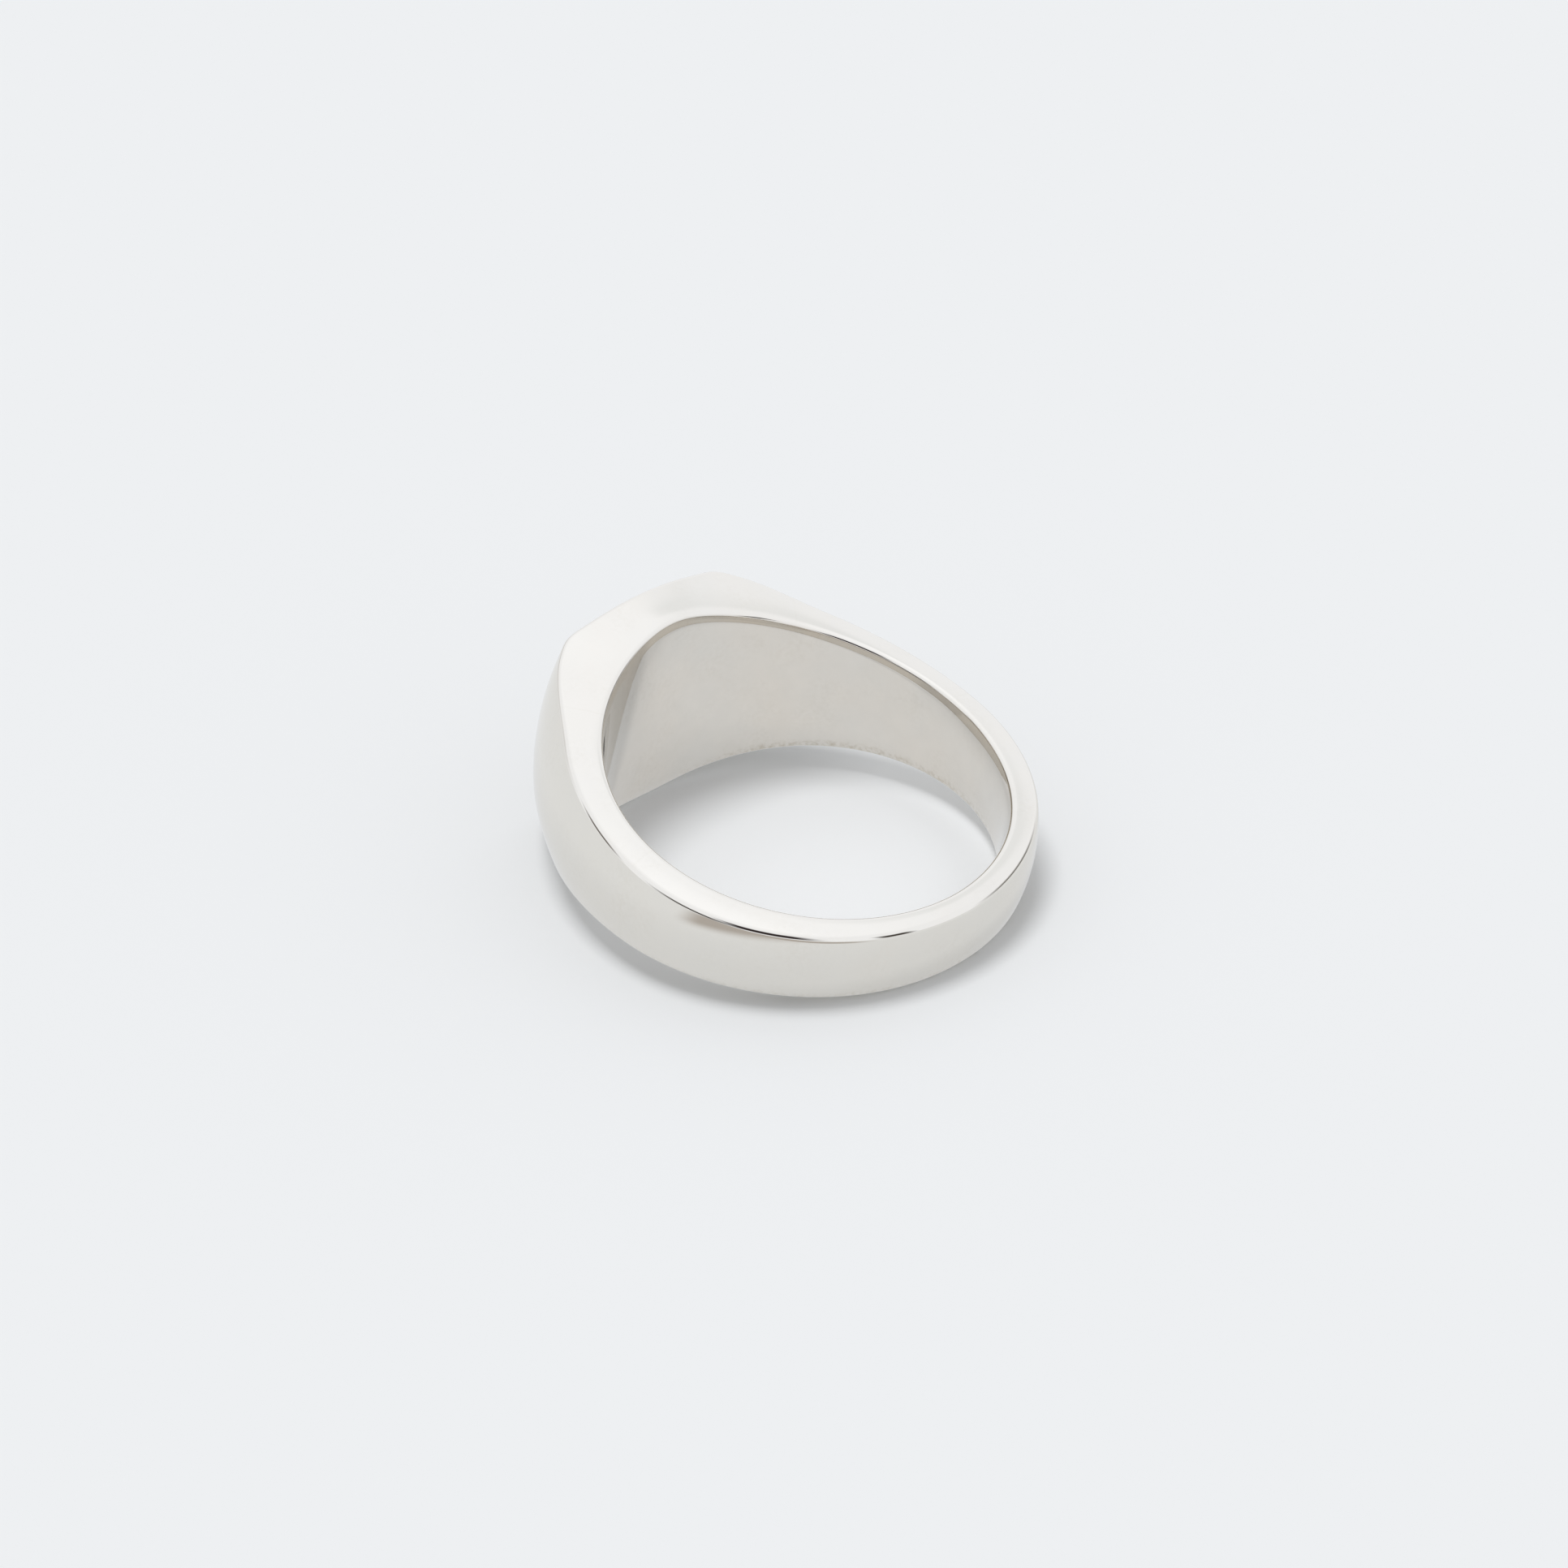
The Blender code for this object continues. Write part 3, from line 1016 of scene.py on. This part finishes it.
@dataclass(frozen=True)
class DarkPatch:
    """A dim part of the surroundings, which shows as a soft grey accent in the silver.

    Its azimuth is a turn from -Y towards +X. All its angles are radians, and left is
    the colour that stays of the light there.
    """

    azimuth: float
    elevation: float
    half_width: float
    half_height: float
    left: Triple = (0.16, 0.14, 0.12)
    softness: float = 0.6

    def cover(self, direction: tuple[Term, Term, Term]) -> Term:
        """Returns how much of the patch lies in a direction: 1 in its middle, 0 beyond it."""
        right, back, up = direction
        aside = right * math.cos(self.azimuth) + back * math.sin(self.azimuth)
        ahead = right * math.sin(self.azimuth) - back * math.cos(self.azimuth)
        swing = without_sign(arc_tangent(aside, ahead)) / self.half_width
        climb = without_sign(arc_sine(up) - self.elevation) / self.half_height
        first = 1.0 - self.softness
        edges = [fall(away, first, 2.0 * self.softness) for away in (swing, climb)]
        return edges[0] * edges[1]


@dataclass(frozen=True)
class Sector:
    """A part of the table top between two directions, in radians, with soft sides."""

    azimuth: float
    half_width: float
    fade: float

    def cover(self, place: tuple[Term, Term, Term]) -> Term:
        """Returns 1 in the sector and 0 beyond its sides."""
        aside = without_sign(arc_tangent(place[0], -place[1]) - self.azimuth)
        return fall(aside, self.half_width, self.fade)


@dataclass(frozen=True)
class Studio:
    """The pale table that the ring lies on, its light and the camera.

    A rise or a fall on the table top is a distance from below the ring's middle and a reach.
    A step of the roof is the light that it adds, the elevation where it starts and its rate.
    """

    floor_colour: Triple = (0.855, 0.871, 0.888)
    table_colour: Triple = (0.50, 0.465, 0.435)
    floor_size: float = 4.0
    paper_glow: float = 0.73
    paper_glow_near: float = 0.65
    paper_glow_rise: Pair = (0.0100, 0.0150)
    paper_shading: float = 0.24
    table_rise: Pair = (0.0195, 0.0045)
    table_sector: Sector = Sector(math.radians(131.0), 0.45, 0.20)
    fill: float = 0.62
    thrown_back: float = 0.095
    thrown_back_fall: Pair = (0.0065, 0.0050)
    thrown_pool: float = 0.10
    pool_rise: Pair = (0.0080, 0.0024)
    pool_fall: Pair = (0.0112, 0.0018)
    pool_sector: Sector = Sector(math.radians(-97.0), 0.35, 0.55)
    roof_steps: tuple[Triple, ...] = ((0.07, 0.8, 2.7), (0.06, 1.2, 4.5))
    tent_colour: Triple = (1.0, 1.02, 1.065)
    key_tilt: float = math.radians(10.0)
    key_azimuth: float = math.radians(50.0)
    key_spread: float = math.radians(22.0)
    azimuth: float = math.radians(135.24)
    elevation: float = math.radians(31.57)
    roll: float = math.radians(0.46)
    distance: float = 0.191
    aim: Triple = (0.00005, -0.00017, 0.0048)
    lens: float = 93.17
    sensor_width: float = 36.0
    clip_start: float = 0.001
    clip_end: float = 10.0

    def patches(self) -> list[DarkPatch]:
        """Returns the dim parts of the surroundings.

        Each line starts with the azimuth, the elevation, the half-width and the half-height in
        degrees; after them come the light that stays and the softness.
        """
        lines = (
            ((47, 13, 8, 8),),
            ((0, 12, 24, 10), (0.74, 0.73, 0.71)),
            ((133, 22, 19, 14), (0.03, 0.02, 0.02), 0.4),
            ((96, 10, 18, 8), (0.08, 0.07, 0.06)),
            ((186, 13, 7, 11), (0.06, 0.05, 0.04), 0.4),
            ((246, 4, 17, 11), (0.25, 0.24, 0.22)),
            ((281, 46, 7, 12), (0.92, 0.925, 0.92)),
        )
        return [DarkPatch(*map(math.radians, angles), *look) for angles, *look in lines]

    def build(self) -> None:
        """Makes the floor, the light and the camera."""
        self.floor()
        self.world()
        self.key_light()
        self.camera()

    def floor(self) -> None:
        """Makes the table top, which is pale paper; the silver alone sees where it ends.

        The polished metal throws light back on the paper inside the ring and beside it. The
        paper glows by that much, as the renderer doesn't follow such light. In the silver the
        paper also glows and keeps only a share of its shade: painted light that weakens the
        shadows seen in the silver.
        """
        mesh = bpy.data.meshes.new("table_top")
        half = self.floor_size / 2
        corners = [(-half, -half, 0.0), (half, -half, 0.0), (half, half, 0.0), (-half, half, 0.0)]
        mesh.from_pydata(corners, [], [(0, 1, 2, 3)])
        top = placed("table_top", mesh)
        material = bpy.data.materials.new("pale_paper")
        material.use_nodes = True
        tree = material.node_tree
        workings = Workings(tree)
        place = self.parts(workings, tree.nodes.new("ShaderNodeNewGeometry").outputs["Position"])
        mirrored = Term(workings, tree.nodes.new("ShaderNodeLightPath").outputs["Is Glossy Ray"])
        apart = length(place[:2])
        # Painted reflection: a brown table top beyond the paper, which only the silver sees
        reflected_table = rise(apart, *self.table_rise) * self.table_sector.cover(place)
        # Painted light: in the silver the paper glows, so the shadows it reflects are weaker
        near_glow = mix(self.paper_glow_near, self.paper_glow, rise(apart, *self.paper_glow_rise))
        pool = rise(apart, *self.pool_rise) * fall(apart, *self.pool_fall) * self.pool_sector.cover(place)
        glow = self.thrown_back * fall(apart, *self.thrown_back_fall) + mirrored * near_glow
        glow = glow + self.thrown_pool * pool * (1.0 - mirrored)
        shaded = mix(1.0, self.paper_shading, mirrored)
        shader = tree.nodes["Principled BSDF"]
        colours = zip(self.floor_colour, self.table_colour)
        seen = [mix(paper, table, reflected_table * mirrored) for paper, table in colours]
        for name, share in {"Base Color": shaded, "Emission Color": glow}.items():
            channels = [channel * share for channel in seen]
            plug(workings.node("ShaderNodeCombineColor", {}, *channels), shader.inputs[name])
        shader.inputs["Emission Strength"].default_value = 1.0
        shader.inputs["Roughness"].default_value = 1.0
        shader.inputs["Specular IOR Level"].default_value = 0.0
        mesh.materials.append(material)
        top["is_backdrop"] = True

    @staticmethod
    def parts(workings: Workings, vector: Socket) -> tuple[Term, Term, Term]:
        """Returns the three numbers of a vector."""
        split = workings.tree.nodes.new("ShaderNodeSeparateXYZ")
        plug(vector, split.inputs[0])
        return tuple(Term(workings, part) for part in split.outputs)

    def world(self) -> None:
        """Makes the surroundings: plain fill light, and a pale tent for reflections."""
        world = bpy.data.worlds.new("studio")
        world.use_nodes = True
        tree = world.node_tree
        workings = Workings(tree)
        shown = tree.nodes["Background"]
        ahead = self.parts(workings, tree.nodes.new("ShaderNodeTexCoord").outputs["Generated"])
        climb = arc_sine(ahead[2])
        roof = 1.0
        for extra, start, rate in self.roof_steps:
            roof = roof + extra * blend(0.0, 1.0, (climb - start) * rate)
        covers = [(patch, patch.cover(ahead)) for patch in self.patches()]
        channels = []
        for channel, tint in enumerate(self.tent_colour):
            light = roof * tint
            for patch, cover in covers:
                light = light * mix(1.0, patch.left[channel], cover)
            channels.append(light)
        path = tree.nodes.new("ShaderNodeLightPath")
        facts = ("Diffuse Depth", "Is Glossy Ray", "Is Camera Ray", "Is Transmission Ray")
        bounces, glossy, seen, through = (Term(workings, path.outputs[fact]) for fact in facts)
        mirrored = glossy * (1.0 - smaller(bounces, 1.0))
        straight = within(seen + through, 0.0, 1.0)
        plain = mix(self.fill, 1.0, straight)
        channels = [mix(plain, channel, mirrored) for channel in channels]
        plug(workings.node("ShaderNodeCombineColor", {}, *channels), shown.inputs["Color"])
        bpy.context.scene.world = world

    def key_light(self) -> None:
        """Makes the broad soft light above the table."""
        light = bpy.data.lights.new("overhead", "SUN")
        light.angle = self.key_spread
        light.energy = (1.0 - self.fill) * math.pi / math.cos(self.key_tilt)
        lamp = placed("overhead", light)
        towards = facing(self.key_azimuth, math.pi / 2 - self.key_tilt)
        lamp.rotation_euler = towards.to_track_quat("Z", "Y").to_euler()
        lamp.visible_glossy = False

    def camera(self) -> None:
        """Makes the camera."""
        data = bpy.data.cameras.new("camera")
        data.lens = self.lens
        data.sensor_width = self.sensor_width
        data.clip_start, data.clip_end = self.clip_start, self.clip_end
        camera = placed("camera", data)
        back = facing(self.azimuth, self.elevation)
        upright = (-back).to_track_quat("-Z", "Y").to_matrix().to_4x4()
        place = Matrix.Translation(Vector(self.aim) + back * self.distance)
        camera.matrix_world = place @ upright @ Matrix.Rotation(self.roll, 4, "Z")
        bpy.context.scene.camera = camera


def facing(azimuth: float, elevation: float) -> Vector:
    """Returns the direction at a turn from -Y towards +X and at a height above the floor."""
    level = math.cos(elevation)
    return Vector((math.sin(azimuth) * level, -math.cos(azimuth) * level, math.sin(elevation)))


def box_of_all() -> Box:
    """Returns the lowest and the highest corner of all that stands in the scene."""
    return [list(corner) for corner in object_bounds()]


def clear_startup() -> None:
    """Removes what Blender's own start-up scene holds beside the frame."""
    kept = {*frame["nodes"].values(), *frame["bodies"].values()}
    for thing in list(bpy.data.objects):
        if thing not in kept:
            bpy.data.objects.remove(thing, do_unlink=True)


def main() -> None:
    """Builds the ring and its studio."""
    logging.basicConfig(level=logging.INFO, format="%(name)s: %(message)s")
    clear_startup()
    cad_box = box_of_all()
    Ring().build(cad_box)
    Studio().build()
    bpy.context.scene.view_settings.view_transform = "Standard"


if __name__ == "__main__":
    main()
